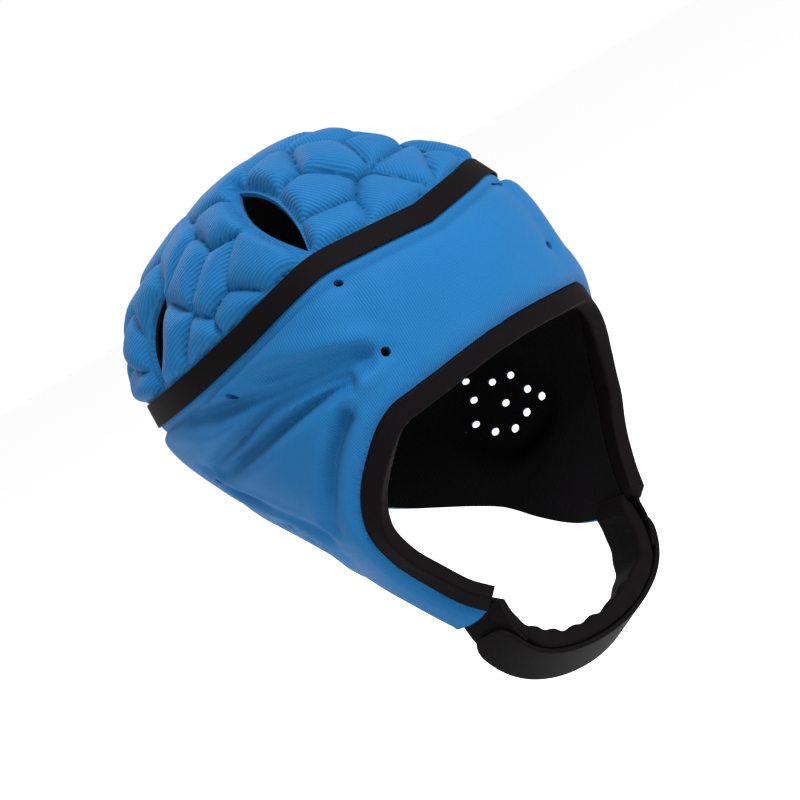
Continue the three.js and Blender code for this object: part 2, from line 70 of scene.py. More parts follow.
camera = bpy.data.objects.new("camera", bpy.data.cameras.new("camera"))
bpy.context.scene.collection.objects.link(camera)
camera.data.sensor_width = sensor_width
camera.data.lens = pixels_per_metre * view_distance * sensor_width / frame_pixels
camera.data.clip_start = 0.1
camera.data.clip_end = 50
camera.matrix_world = Matrix.Translation(
    target + back * view_distance + picture_right * aside - picture_up * below
) @ Matrix((picture_right, picture_up, back)).transposed().to_4x4()
bpy.context.scene.camera = camera

floor_drop = 0.36
bpy.ops.mesh.primitive_plane_add(size=30, location=(0, 0, -floor_drop))
floor = bpy.context.object
floor.name = "studio_floor"
floor_paint = bpy.data.materials.new("pale_floor")
floor_paint.use_nodes = True
floor_shader = floor_paint.node_tree.nodes["Principled BSDF"]
floor_shader.inputs["Base Color"].default_value = (0.97, 0.97, 0.97, 1)
floor_shader.inputs["Roughness"].default_value = 0.9
floor.data.materials.append(floor_paint)

lamps = [
    {"name": "key", "at": (0.1, -1.75, 1.7), "size": 0.9, "power": 120},
    {"name": "fill", "at": (-1.7, 0.2, 1.2), "size": 1.4, "power": 10},
    {"name": "rim", "at": (0.6, 1.7, 1.5), "size": 1.2, "power": 24},
]
for lamp in lamps:
    light = bpy.data.lights.new(lamp["name"], "AREA")
    light.size = lamp["size"]
    light.energy = lamp["power"]
    holder = bpy.data.objects.new(lamp["name"], light)
    holder.location = lamp["at"]
    holder.rotation_euler = (Vector(lamp["at"]) - target).to_track_quat("Z", "Y").to_euler()
    bpy.context.scene.collection.objects.link(holder)
sky = bpy.data.worlds.new("studio")
sky.use_nodes = True
sky.node_tree.nodes["Background"].inputs["Color"].default_value = (1, 1, 1, 1)
sky.node_tree.nodes["Background"].inputs["Strength"].default_value = 1.0
bpy.context.scene.world = sky
bpy.context.scene.view_settings.view_transform = "Standard"

# Crown
# Separate foam pads under stretched ribbed knit, heat-pressed so that the cloth sinks between them. Four
# eye-shaped cooling slits are cut through. The wall follows the level sections of the cap, pad by pad.
cap_length = 209 * mm
cap_width = 178 * mm
cap_depth = 226 * mm
padding = 9 * mm
lining = 1.2 * mm
gap = 0.3 * mm
crown_top = padding + gap + lining
flange = 5.5 * mm
flange_width = 3.5 * mm
slit_flange = 2.4 * mm
tape_width = 11.5 * mm
tiny = 1e-12

section_columns = ("depth", "side", "front", "middle", "back", "front_quarter", "back_quarter")
sections = np.array([
    (0.000, 0.000, -0.057, -0.057, -0.057, 0.788, 0.707),
    (0.013, 0.315, -0.354, -0.038, 0.268, 0.788, 0.707),
    (0.053, 0.528, -0.574, -0.019, 0.526, 0.788, 0.707),
    (0.124, 0.742, -0.756, 0.000, 0.756, 0.788, 0.707),
    (0.221, 0.910, -0.928, -0.010, 0.880, 0.788, 0.707),
    (0.332, 0.989, -1.033, -0.038, 0.947, 0.788, 0.701),
    (0.442, 1.000, -1.053, -0.115, 0.928, 0.788, 0.701),
    (0.553, 1.000, -1.043, -0.249, 0.842, 0.788, 0.665),
    (0.664, 0.978, -1.005, -0.383, 0.727, 0.788, 0.610),
    (0.774, 0.921, -0.947, -0.440, 0.612, 0.788, 0.560),
    (0.885, 0.787, -0.900, -0.402, 0.536, 0.788, 0.560),
    (1.000, 0.652, -0.871, -0.402, 0.478, 0.788, 0.560),
])


def curve_through(keys, values):
    """A smooth curve through the rows of a table, as a function."""
    keys, values = np.asarray(keys, float), np.asarray(values, float)
    last = len(keys) - 1
    rows = np.arange(last + 1)
    before, after = np.maximum(rows - 1, 0), np.minimum(rows + 1, last)
    slopes = (values[after] - values[before]) / (keys[after] - keys[before])

    def value_at(key):
        row = np.clip(np.searchsorted(keys, key) - 1, 0, last - 1)
        span = keys[row + 1] - keys[row]
        share = (key - keys[row]) / span
        rest = 1 - share
        start = rest * rest * ((1 + 2 * share) * values[row] + share * span * slopes[row])
        end = share * share * ((1 + 2 * rest) * values[row + 1] - rest * span * slopes[row + 1])
        return start + end

    return value_at


section_curves = {
    name: curve_through(np.sqrt(sections[:, 0]), sections[:, column])
    for column, name in enumerate(section_columns)
}


def form(around, depth):
    """Points of the swollen cap for directions around from the brow and depths under the crown top."""
    around, depth = np.broadcast_arrays(np.asarray(around, float), np.asarray(depth, float))
    level = np.sqrt(np.maximum(depth, 0) / cap_depth)
    at = {name: curve(level) for name, curve in section_curves.items()}
    brow = at["middle"] + (at["front"] - at["middle"]) * at["front_quarter"]
    rear = at["middle"] + (at["back"] - at["middle"]) * at["back_quarter"]
    near = at["side"] * at["front_quarter"]
    far = at["side"] * at["back_quarter"]
    none = 0 * level
    ring_x = np.stack([none, near, at["side"], far, none, -far, -at["side"], -near])
    ring_y = np.stack([at["front"], brow, at["middle"], rear, at["back"], rear, at["middle"], brow])
    turn = np.mod(around, 2 * math.pi) / (math.pi / 4)
    step = np.floor(turn).astype(int) % 8
    share = turn - np.floor(turn)

    def between(ring):
        p0, p1, p2, p3 = (np.take_along_axis(ring, ((step + k) % 8)[None], 0)[0] for k in (-1, 0, 1, 2))
        return p1 + 0.5 * share * (
            p2 - p0 + share * (2 * p0 - 5 * p1 + 4 * p2 - p3 + share * (3 * (p1 - p2) + p3 - p0))
        )

    return np.stack([
        between(ring_x) * cap_width / 2,
        between(ring_y) * cap_length / 2,
        crown_top - depth,
    ], -1)


def outward(around, depth):
    """Directions straight out of the cap. At its very top that is straight up."""
    around, depth = np.broadcast_arrays(np.asarray(around, float), np.asarray(depth, float))
    turn_step, depth_step = 0.02, 0.4 * mm
    sideways = form(around + turn_step, depth) - form(around - turn_step, depth)
    downwards = form(around, depth + depth_step) - form(around, np.maximum(depth - depth_step, 0))
    normal = np.cross(downwards, sideways)
    size = np.linalg.norm(normal, axis=-1, keepdims=True)
    flat_top = (size < tiny) | (depth[..., None] <= 0)
    return np.where(flat_top, (0.0, 0.0, 1.0), normal / np.maximum(size, tiny))


def on_cap(around, depth, height):
    """Points at heights over the inner face of the padding."""
    return form(around, depth) + outward(around, depth) * (np.asarray(height) - padding)[..., None]


seam_line = np.array([
    (0, 0.252), (22, 0.239), (36, 0.234), (50, 0.252), (68, 0.288), (88, 0.319), (122, 0.345), (180, 0.363),
])
seam_share = curve_through(seam_line[:, 0], seam_line[:, 1])


def seam_depth(around):
    """How far the seam lies under the crown top, the same on the left and the right."""
    turned = np.abs(np.mod(np.asarray(around) + math.pi, 2 * math.pi) - math.pi)
    return seam_share(np.degrees(turned)) * cap_depth


pad_columns = ("around", "depth", "height", "cut", "pair")
crown_pads = [
    (0, 0.071, 1.00, "front", False),
    (-3, 0.199, 0.80, "front", False),
    (-21, 0.128, 0.88, "front", False),
    (-22, 0.173, 0.86, "front", False),
    (19, 0.093, 0.90, "front", False),
    (18, 0.150, 0.82, "front", False),
    (28, 0.204, 0.82, "front", False),
    (32, 0.035, 0.95, "front", True),
    (56, 0.013, 0.95, "rear", True),
    (65, 0.071, 1.00, "rear", True),
    (55, 0.177, 0.95, "rear", True),
    (68, 0.155, 0.92, "rear", True),
    (79, 0.124, 0.98, "rear", True),
    (92, 0.088, 0.98, "rear", True),
    (62, 0.235, 0.90, "rear", True),
    (79, 0.262, 0.92, "rear", True),
    (87, 0.222, 0.95, "rear", True),
    (110, 0.140, 1.00, "rear", True),
    (119, 0.212, 1.00, "rear", True),
    (120, 0.283, 0.95, "rear", True),
    (135, 0.060, 0.95, "rear", True),
    (142, 0.150, 0.98, "rear", True),
    (146, 0.255, 0.95, "rear", True),
    (180, 0.020, 0.95, "rear", False),
    (180, 0.110, 0.98, "rear", False),
    (172, 0.210, 0.96, "rear", True),
    (167, 0.310, 0.92, "rear", True),
]
pad_rows = [dict(zip(pad_columns, row)) for row in crown_pads]
pad_rows += [{**row, "around": -row["around"]} for row in pad_rows if row["pair"]]
pad_middles = form(
    np.radians([row["around"] for row in pad_rows]),
    np.array([row["depth"] for row in pad_rows]) * cap_depth,
)
# The cloth puffs the pads up past the foam's thickness.
pad_puff = 1.36
pad_heights = np.array([row["height"] for row in pad_rows]) * padding * pad_puff

# Directions and depths of each slit's ends, its greatest width, and how wide the pads' slope beside it is.
slit_rows = [
    {"from": (53, 0.022), "to": (35, 0.192), "width": 14 * mm, "shoulder": 6 * mm},
    {"from": (98, 0.115), "to": (109, 0.305), "width": 21 * mm, "shoulder": 17 * mm},
]
slits = []
for row in slit_rows:
    for side in (1, -1):
        ends = [
            on_cap(np.array(side * math.radians(turn)), np.array(share * cap_depth), slit_flange)
            for turn, share in (row["from"], row["to"])
        ]
        middle_turn = side * math.radians((row["from"][0] + row["to"][0]) / 2)
        middle_depth = (row["from"][1] + row["to"][1]) / 2 * cap_depth
        length = np.linalg.norm(ends[1] - ends[0])
        along = (ends[1] - ends[0]) / length
        across = np.cross(outward(middle_turn, middle_depth), along)
        across /= np.linalg.norm(across)
        slits.append({
            "width": row["width"],
            "shoulder": row["shoulder"],
            "length": length,
            "middle": (ends[0] + ends[1]) / 2,
            "along": along,
            "across": across,
            "turn": middle_turn,
            "depth": middle_depth,
        })


def slit_half_width(slit, run):
    """Half the eye shape's width at a run along it from its middle."""
    return slit["width"] / 2 * (1 - np.clip(2 * run / slit["length"], -1, 1) ** 2)


def distance_to_slit(points, slit):
    reach = points - slit["middle"]
    run = reach @ slit["along"]
    beyond = np.maximum(np.abs(run) - slit["length"] / 2, 0)
    past_edge = np.abs(reach @ slit["across"]) - slit_half_width(slit, run)
    return np.hypot(beyond, np.maximum(past_edge, 0))


def swell(distance, width):
    """A pad's rise from its pressed edge: quick at first, then level."""
    rest = 1 - np.clip(distance / width, 0, 1)
    return (1 - rest ** 2.2) ** 0.62


def uneven(points, size):
    """A smooth wandering value from -1 to 1 that changes over about the given size."""
    x, y, z = (points / size * 2 * math.pi).T
    return (
        np.sin(0.9 * x + 1.3 * np.sin(0.6 * y + 1)) + np.sin(0.8 * y + 1.2 * np.sin(0.7 * z + 2))
        + np.sin(0.9 * z + 1.1 * np.sin(0.5 * x + 4))
    ) / 3


crown_shoulder = 11 * mm
edge_shoulder = 6 * mm
crown_valley = 3.6 * mm
corner_rounding = 0.9 * mm
valley_wander = 2.6 * mm
valley_wander_size = 42 * mm
valley_rise = 1.6 * mm
valley_rise_size = 30 * mm
# The empty crown sinks a little in these places.
slumps = [
    {"turn": -130, "depth": 0.03, "radius": 46 * mm, "share": 0.5},
    {"turn": 55, "depth": 0.11, "radius": 36 * mm, "share": 0.4},
]


def crown_height(around, depth):
    """The crown's thickness: pads with rounded shoulders, valleys between them, thin at seam and slits."""
    still = form(around, depth)
    wander = np.stack([uneven(still + start, valley_wander_size) for start in (0, 0.3, 0.7)], 1)
    points = still + valley_wander * wander
    distance = np.linalg.norm(points[:, None] - pad_middles[None], axis=-1)
    nearest = distance.argmin(1)
    spread = np.linalg.norm(pad_middles[nearest][:, None] - pad_middles[None], axis=-1)
    own = distance[np.arange(len(points)), nearest][:, None]
    to_edge = (distance ** 2 - own ** 2) / np.maximum(2 * spread, tiny)
    to_edge[spread < tiny] = 1
    rounded = -corner_rounding * np.log(np.exp(-to_edge / corner_rounding).sum(1))
    valley = crown_valley + valley_rise * (1 + uneven(still, valley_rise_size)) / 2
    pad = valley + (pad_heights[nearest] - valley) * swell(np.maximum(rounded, 0), crown_shoulder)
    to_seam = np.linalg.norm(still - form(around, seam_depth(around)), axis=-1)
    to_seam -= tape_width / 2 + 0.5 * flange_width
    for slump in slumps:
        middle = form(np.array(math.radians(slump["turn"])), np.array(slump["depth"] * cap_depth))
        away = np.linalg.norm(still - middle, axis=-1)
        pad *= 1 - slump["share"] * np.exp(-((away / slump["radius"]) ** 2))
    height = flange + (pad - flange) * swell(np.maximum(to_seam, 0), edge_shoulder)
    for slit in slits:
        to_slit = distance_to_slit(still, slit) - flange_width
        height = slit_flange + (height - slit_flange) * swell(np.maximum(to_slit, 0), slit["shoulder"])
    return height


def inside(points, loop):
    """Which flat points lie inside a closed loop."""
    x, y = points[:, 0][:, None], points[:, 1][:, None]
    x0, y0 = loop[:, 0][None], loop[:, 1][None]
    x1, y1 = np.roll(loop[:, 0], -1)[None], np.roll(loop[:, 1], -1)[None]
    straddles = (y0 > y) != (y1 > y)
    crossing = x0 + (y - y0) * (x1 - x0) / np.where(y1 == y0, tiny, y1 - y0)
    return (straddles & (x < crossing)).sum(1) % 2 == 1


def distance_to_line(points, line, closed=False):
    """How far flat points lie from a line of straight runs."""
    ends = np.roll(line, -1, 0) if closed else line[1:]
    starts = line if closed else line[:-1]
    nearest = np.full(len(points), np.inf)
    for start, end in zip(starts, ends):
        run = end - start
        share = np.clip((points - start) @ run / max(run @ run, tiny), 0, 1)
        nearest = np.minimum(nearest, np.linalg.norm(points - start - share[:, None] * run, axis=1))
    return nearest


rim_clearance = 0.55
same_point = 1e-9


def flat_panel(outline, holes, spacing):
    """Triangles of a flat panel with holes. Its loops' points come first, then even rows that fill it."""
    loops = [outline, *holes]
    low, high = outline.min(0), outline.max(0)
    rows = np.arange(low[1], high[1], spacing * math.sqrt(3) / 2)
    columns = np.arange(low[0], high[0], spacing)
    x, y = np.meshgrid(columns, rows)
    x[1::2] += spacing / 2
    filling = np.stack([x.ravel(), y.ravel()], 1)
    filling = filling[inside(filling, outline)]
    for hole in holes:
        filling = filling[~inside(filling, hole)]
    for loop in loops:
        near_box = ((filling > loop.min(0) - spacing) & (filling < loop.max(0) + spacing)).all(1)
        clear = np.ones(len(filling), bool)
        to_loop = distance_to_line(filling[near_box], loop, closed=True)
        clear[near_box] = to_loop > rim_clearance * spacing
        filling = filling[clear]
    points = np.concatenate([*loops, filling])
    edges, first = [], 0
    for loop in loops:
        edges += [(first + i, first + (i + 1) % len(loop)) for i in range(len(loop))]
        first += len(loop)
    corners = [Vector(point) for point in points]
    _, _, faces, origins, _, _ = delaunay_2d_cdt(corners, edges, [], 0, same_point)
    origin = np.array([rows_from[0] if rows_from else -1 for rows_from in origins])
    triangles = origin[np.array(faces)]
    triangles = triangles[(triangles >= 0).all(1)]
    middles = points[triangles].mean(1)
    kept = inside(middles, outline)
    for hole in holes:
        kept &= ~inside(middles, hole)
    return points, triangles[kept], [len(loop) for loop in loops]


def new_piece(name, points, faces):
    mesh = bpy.data.meshes.new(name)
    mesh.from_pydata([tuple(p) for p in points], [], [tuple(int(i) for i in face) for face in faces])
    piece = bpy.data.objects.new(name, mesh)
    bpy.context.scene.collection.objects.link(piece)
    return piece


def edit_whole(piece, *steps):
    """Runs edit-mode operators on the whole mesh of one piece."""
    bpy.ops.object.select_all(action="DESELECT")
    bpy.context.view_layer.objects.active = piece
    piece.select_set(True)
    bpy.ops.object.mode_set(mode="EDIT")
    bpy.ops.mesh.select_all(action="SELECT")
    for step in steps:
        step()
    bpy.ops.object.mode_set(mode="OBJECT")
    piece.select_set(False)


merge_distance = 0.02 * mm


def close_seams():
    bpy.ops.mesh.remove_doubles(threshold=merge_distance)
    bpy.ops.mesh.normals_make_consistent(inside=False)


def panel_wall(name, outline, holes, spacing, inner_spacing, place, low, high):
    """A wall over a flat panel: an outer face at one height, an inner face at another, and its rims."""
    outer, outer_faces, loop_sizes = flat_panel(outline, holes, spacing)
    inner, inner_faces, _ = flat_panel(outline, holes, inner_spacing)
    around, depth = place(outer)
    outer_points = on_cap(around, depth, high(around, depth))
    around, depth = place(inner)
    inner_points = on_cap(around, depth, low(around, depth))
    shift = len(outer)
    rims, first = [], 0
    for size in loop_sizes:
        steps = first + np.arange(size)
        following = first + (np.arange(size) + 1) % size
        rims.append(np.stack([steps, following, following + shift, steps + shift], 1))
        first += size
    faces = [*outer_faces, *(inner_faces[:, ::-1] + shift), *np.concatenate(rims)]
    piece = new_piece(name, np.concatenate([outer_points, inner_points]), faces)
    flat = piece.data.uv_layers.new(name="flat")
    vertices = np.empty(len(piece.data.loops), np.int32)
    piece.data.loops.foreach_get("vertex_index", vertices)
    flat.data.foreach_set("uv", np.concatenate([outer, inner])[vertices].astype(np.float32).ravel())
    edit_whole(piece, close_seams)
    return piece


crown_spread = 115 * mm
crown_spacing = 1.35 * mm
crown_inner_spacing = 5 * mm
rim_points = 480
slit_steps = 34
slit_fit_rounds = 8
least_slit_depth = 0.5 * mm


def crown_place(flat):
    """The disc's radius grows from the crown's top to the seam, as the root of the depth."""
    around = np.arctan2(flat[:, 0], -flat[:, 1])
    share = np.hypot(flat[:, 0], flat[:, 1]) / crown_spread
    return around, share ** 2 * (seam_depth(around) - gap / 2)


def flat_crown_points(around, depth):
    """The way back, from directions and depths to the flat disc."""
    share = np.sqrt(depth / (seam_depth(around) - gap / 2)) * crown_spread
    return np.stack([share * np.sin(around), -share * np.cos(around)], 1)


def slit_outline(slit, steps):
    """The slit's edge in the flat crown, found by walking over the cap to each point of the eye shape."""
    runs = np.linspace(-0.5, 0.5, steps + 1) * slit["length"]
    run = np.concatenate([runs, runs[-2:0:-1]])
    side = np.concatenate([slit_half_width(slit, runs), -slit_half_width(slit, runs[-2:0:-1])])
    around = np.full(len(run), slit["turn"])
    depth = np.full(len(run), slit["depth"])
    turn_step, depth_step = 1e-3, 0.05 * mm

    def flat_error(turn, drop):
        reach = on_cap(turn, drop, slit_flange + 0 * turn) - slit["middle"]
        return np.stack([reach @ slit["along"] - run, reach @ slit["across"] - side], 1)

    for _ in range(slit_fit_rounds):
        error = flat_error(around, depth)
        by_turn = (flat_error(around + turn_step, depth) - error) / turn_step
        by_depth = (flat_error(around, depth + depth_step) - error) / depth_step
        step = np.linalg.solve(np.stack([by_turn, by_depth], 2), -error[..., None])[..., 0]
        around = around + step[:, 0]
        depth = np.maximum(depth + step[:, 1], least_slit_depth)
    return flat_crown_points(around, depth)


rim_turns = np.arange(rim_points) * 2 * math.pi / rim_points
crown_outline = crown_spread * np.stack([np.sin(rim_turns), -np.cos(rim_turns)], 1)
crown_holes = [slit_outline(slit, slit_steps) for slit in slits]


def at_height(height):
    """The same height everywhere on the cap."""
    return lambda around, depth: np.full(np.shape(around), height)


padded_crown = panel_wall(
    "padded_crown", crown_outline, crown_holes, crown_spacing, crown_inner_spacing, crown_place,
    at_height(0), crown_height,
)


class Socket:
    """A shader socket. Operators on it add Math nodes, and add_node() adds any other."""

    def __init__(self, tree, socket):
        self.tree = tree
        self.socket = socket

    def math(self, operation, *others):
        return add_node(self.tree, "ShaderNodeMath", {"operation": operation}, [self, *others])

    def __add__(self, other):
        return self.math("ADD", other)

    def __sub__(self, other):
        return self.math("SUBTRACT", other)

    def __mul__(self, other):
        return self.math("MULTIPLY", other)

    def __rsub__(self, other):
        return add_node(self.tree, "ShaderNodeMath", {"operation": "SUBTRACT"}, [other, self])

    __radd__ = __add__
    __rmul__ = __mul__


def add_node(tree, kind, settings, values, output=0):
    """A node by its type, with its settings first and then the values or links of its sockets."""
    node = tree.nodes.new(kind)
    for key, value in settings.items():
        setattr(node, key, value)
    named = values.items() if isinstance(values, dict) else enumerate(values)
    for key, value in named:
        if isinstance(value, Socket):
            tree.links.new(value.socket, node.inputs[key])
        else:
            node.inputs[key].default_value = value
    return Socket(tree, node.outputs[output])


def blank_material(name, roughness, sheen, gloss):
    material = bpy.data.materials.new(name)
    material.use_nodes = True
    shader = material.node_tree.nodes["Principled BSDF"]
    shader.inputs["Roughness"].default_value = roughness
    shader.inputs["Specular IOR Level"].default_value = gloss
    shader.inputs["Sheen Weight"].default_value = sheen
    shader.inputs["Sheen Roughness"].default_value = 0.45
    return material, material.node_tree, shader


def ribbed_knit(name, light, dark, rib_pitch, rib_relief, roughness=0.7, sheen=0.02, gloss=0.09):
    """Fine ribs across the UV map's first axis, with single stitches along them and a soft unevenness."""
    material, tree, shader = blank_material(name, roughness, sheen, gloss)
    uv = add_node(tree, "ShaderNodeUVMap", {"uv_map": "ribs"}, {})
    across = add_node(tree, "ShaderNodeSeparateXYZ", {}, [uv], "X")
    along = add_node(tree, "ShaderNodeSeparateXYZ", {}, [uv], "Y")
    place = add_node(tree, "ShaderNodeTexCoord", {}, {}, "Object")
    wander = add_node(tree, "ShaderNodeTexNoise", {}, {"Vector": place, "Scale": 60.0, "Detail": 2.0})
    rib = (across * (2 * math.pi / rib_pitch) + wander * 2.2).math("SINE") * 0.5 + 0.5
    stitch = (along * (2 * math.pi / (0.9 * rib_pitch))).math("SINE") * 0.5 + 0.5
    fuzz = add_node(tree, "ShaderNodeTexNoise", {}, {"Vector": place, "Scale": 1800.0, "Detail": 3.0})
    patches = add_node(tree, "ShaderNodeTexNoise", {}, {"Vector": place, "Scale": 22.0, "Detail": 3.0})
    # Painted shade: the colour darkens in the grooves between the ribs and the stitches, mixed with random
    # tone from the fuzz and the patches.
    groove_shade_and_tone = rib * 0.42 + stitch * 0.08 + fuzz * 0.25 + patches * 0.35
    colour = add_node(
        tree, "ShaderNodeMix", {"data_type": "RGBA"}, {0: groove_shade_and_tone, 6: (*dark, 1), 7: (*light, 1)}, 2
    )
    relief = rib * 0.8 + stitch * 0.15 + fuzz * 0.2
    bump = add_node(
        tree, "ShaderNodeBump", {}, {"Strength": 0.9, "Distance": rib_relief, "Height": relief}, "Normal"
    )
    tree.links.new(colour.socket, shader.inputs["Base Color"])
    tree.links.new(bump.socket, shader.inputs["Normal"])
    return material


def straight_ribs(piece):
    """Ribs that run down the flat pattern, as on a panel cut in one piece."""
    mesh = piece.data
    flat = np.empty(2 * len(mesh.loops), np.float32)
    mesh.uv_layers["flat"].data.foreach_get("uv", flat)
    mesh.uv_layers.new(name="ribs").data.foreach_set("uv", flat)


def ribs_by_pad(piece, pads, middles, across, along):
    """Ribs that lie straight over each pad: across and along hold one direction for each pad."""
    mesh = piece.data
    sizes = np.empty(len(mesh.polygons), np.int32)
    mesh.polygons.foreach_get("loop_total", sizes)
    vertices = np.empty(len(mesh.loops), np.int32)
    mesh.loops.foreach_get("vertex_index", vertices)
    places = np.empty(3 * len(mesh.vertices), np.float32)
    mesh.vertices.foreach_get("co", places)
    pad = np.repeat(pads, sizes)
    reach = places.reshape(-1, 3)[vertices] - middles[pad]
    ribs = np.stack([(reach * across[pad]).sum(1), (reach * along[pad]).sum(1)], 1)
    mesh.uv_layers.new(name="ribs").data.foreach_set("uv", ribs.astype(np.float32).ravel())


def face_middles(piece):
    middles = np.empty(3 * len(piece.data.polygons), np.float32)
    piece.data.polygons.foreach_get("center", middles)
    return middles.reshape(-1, 3)


def finish_cloth(piece, material, nodes, crease_angle=50):
    piece.data.materials.append(material)
    bpy.ops.object.select_all(action="DESELECT")
    bpy.context.view_layer.objects.active = piece
    piece.select_set(True)
    bpy.ops.object.shade_smooth_by_angle(angle=math.radians(crease_angle))
    piece.select_set(False)
    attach(piece, "root")
    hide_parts(*nodes)


blue_light = (0.005, 0.086, 0.222)
blue_dark = (0.0012, 0.045, 0.130)
blue_knit = ribbed_knit("blue_ribbed_knit", blue_light, blue_dark, 1.15 * mm, 0.16 * mm)
crown_knit = ribbed_knit("blue_crown_knit", blue_light, blue_dark, 1.5 * mm, 0.26 * mm)

# The ribs run one way over the pads in front of the long cut of the crown, and another way behind it.
rib_ways = {"front": np.array((0.406, -0.401, -0.82)), "rear": np.array((0.78, -0.625, 0.0))}
pad_turns = np.radians([row["around"] for row in pad_rows])
pad_normals = outward(pad_turns, np.array([row["depth"] for row in pad_rows]) * cap_depth)
rib_along = np.array([rib_ways[row["cut"]] for row in pad_rows])
rib_along[pad_turns > 0, 0] *= -1
rear_middle = np.cos(pad_turns) < -0.98
rib_along[rear_middle, 1] = 0
rib_along -= pad_normals * (rib_along * pad_normals).sum(1, keepdims=True)
rib_along /= np.linalg.norm(rib_along, axis=1, keepdims=True)
rib_across = np.cross(pad_normals, rib_along)
crown_faces = face_middles(padded_crown)
nearest_pad = np.linalg.norm(crown_faces[:, None] - pad_middles[None], axis=-1).argmin(1)
ribs_by_pad(padded_crown, nearest_pad, pad_middles, rib_across, rib_along)
finish_cloth(padded_crown, crown_knit, ["crown_padding"])

# Brow, sides and nape
# One smooth foam panel under the same knit, from the seam down to the face, the ears and the nape. Pressed
# valleys fan out from the temples, and round vents and a cluster of ear holes go right through.
flat_radius = cap_width / 2
face_edge = np.array([
    (0, 0.515), (15, 0.518), (25, 0.524), (34, 0.529), (40, 0.533), (48, 0.553), (56, 0.588), (67, 0.642),
    (77, 0.704), (82, 0.757), (82, 0.819), (77, 0.885), (72, 0.945), (65, 0.984),
])
neck_edges = {
    -1: np.array([
        (93, 0.920), (99, 0.884), (108, 0.850), (118, 0.828), (128, 0.820), (138, 0.812), (154, 0.784),
        (168, 0.750), (175, 0.741), (180, 0.740),
    ]),
    1: np.array([
        (93, 0.996), (99, 0.994), (108, 0.978), (118, 0.940), (128, 0.889), (138, 0.854), (154, 0.803),
        (168, 0.752), (175, 0.741), (180, 0.740),
    ]),
}
cheek_tip_width = 22 * mm
cheek_tip_spread = 1.5
tip_back = face_edge[-1, 0] + math.degrees(cheek_tip_width / flat_radius) * cheek_tip_spread
# Each pressed valley's depth, half its width and its line of directions and depths. On the left side the
# long ones from the temple start further back, by the given number of degrees.
creases = [
    {"press": 1.3 * mm, "width": 6.0 * mm, "line": [(31, 0.270), (34, 0.372), (34, 0.500)]},
    {"press": 6.0 * mm, "width": 4.2 * mm, "left": 24, "line": [(39, 0.429), (57, 0.394), (74, 0.354)]},
    {"press": 6.8 * mm, "width": 4.2 * mm, "left": 24, "line": [(42, 0.434), (71, 0.403), (110, 0.363)]},
    {"press": 6.4 * mm, "width": 3.4 * mm, "left": 24, "line": [(47, 0.446), (71, 0.433), (112, 0.488)]},
    {"press": 6.4 * mm, "width": 3.2 * mm, "left": 24, "line": [(48, 0.460), (70, 0.470), (108, 0.507)]},
    {"press": 6.0 * mm, "width": 3.6 * mm, "line": [(54, 0.509), (64, 0.558), (76, 0.619), (88, 0.681)]},
    {"press": 5.0 * mm, "width": 3.6 * mm, "line": [(113, 0.549), (109, 0.602), (98, 0.699)]},
]
vents = [(34, 0.283), (34, 0.442), (79, 0.376), (114, 0.518)]
vent_diameter = 4.6 * mm
ear_holes = [
    (121, 0.624), (116, 0.650), (111, 0.655), (110, 0.695), (108, 0.721), (123, 0.664), (117, 0.699),
    (114, 0.735), (127, 0.708), (124, 0.739), (119, 0.752),
]
ear_hole_diameter = 4.4 * mm


def side_place(flat):
    around = flat[:, 0] / flat_radius
    return around, flat[:, 1] + seam_depth(around)


def flat_side_points(degrees, shares):
    around = np.radians(degrees)
    return np.stack([around * flat_radius, np.asarray(shares) * cap_depth - seam_depth(around)], -1)


def reach_along(points):
    """How far along a line of points each of them lies."""
    return np.concatenate([[0], np.cumsum(np.linalg.norm(np.diff(points, axis=0), axis=1))])


def spline(points, step):
    """Even steps along a smooth curve through the points."""
    padded = np.concatenate([points[:1], points, points[-1:]])
    share = np.linspace(0, 1, 40, endpoint=False)[:, None]
    runs = []
    for p0, p1, p2, p3 in zip(padded, padded[1:], padded[2:], padded[3:]):
        runs.append(p1 + 0.5 * share * (
            p2 - p0 + share * (2 * p0 - 5 * p1 + 4 * p2 - p3 + share * (3 * (p1 - p2) + p3 - p0))
        ))
    dense = np.concatenate([*runs, points[-1:]])
    reach = reach_along(dense)
    even = np.linspace(0, reach[-1], max(2, math.ceil(reach[-1] / step)) + 1)
    return np.stack([np.interp(even, reach, dense[:, k]) for k in range(2)], 1)


edge_step = 1.6 * mm
crease_step = 2.5 * mm
side_spacing = 1.2 * mm
side_inner_spacing = 6 * mm
right_face = flat_side_points(-face_edge[1:, 0], face_edge[1:, 1])[::-1]
left_face = flat_side_points(face_edge[:, 0], face_edge[:, 1])
face_line = spline(np.concatenate([right_face, left_face]), edge_step)
neck_lines = {}
for side, rows in neck_edges.items():
    tip = flat_side_points(np.array([side * tip_back]), face_edge[-1:, 1])
    nape = flat_side_points(side * rows[:, 0], rows[:, 1])
    neck_lines[side] = spline(np.concatenate([tip, nape]), edge_step)


def straight(start, end, step):
    """Even steps along a straight line."""
    count = max(1, round(np.linalg.norm(end - start) / step))
    return start + (end - start) * np.linspace(0, 1, count + 1)[:, None]


half_way = math.pi * flat_radius
seam_edge = straight(np.array((-half_way, gap / 2)), np.array((half_way, gap / 2)), edge_step)
left_back = straight(seam_edge[-1], neck_lines[1][-1], edge_step)
left_tip = straight(neck_lines[1][0], face_line[-1], edge_step)
right_tip = straight(face_line[0], neck_lines[-1][0], edge_step)
right_back = straight(neck_lines[-1][-1], seam_edge[0], edge_step)
side_outline = np.concatenate([
    seam_edge[:-1],
    left_back[:-1],
    neck_lines[1][::-1][:-1],
    left_tip[:-1],
    face_line[::-1][:-1],
    right_tip[:-1],
    neck_lines[-1][:-1],
    right_back[:-1],
])


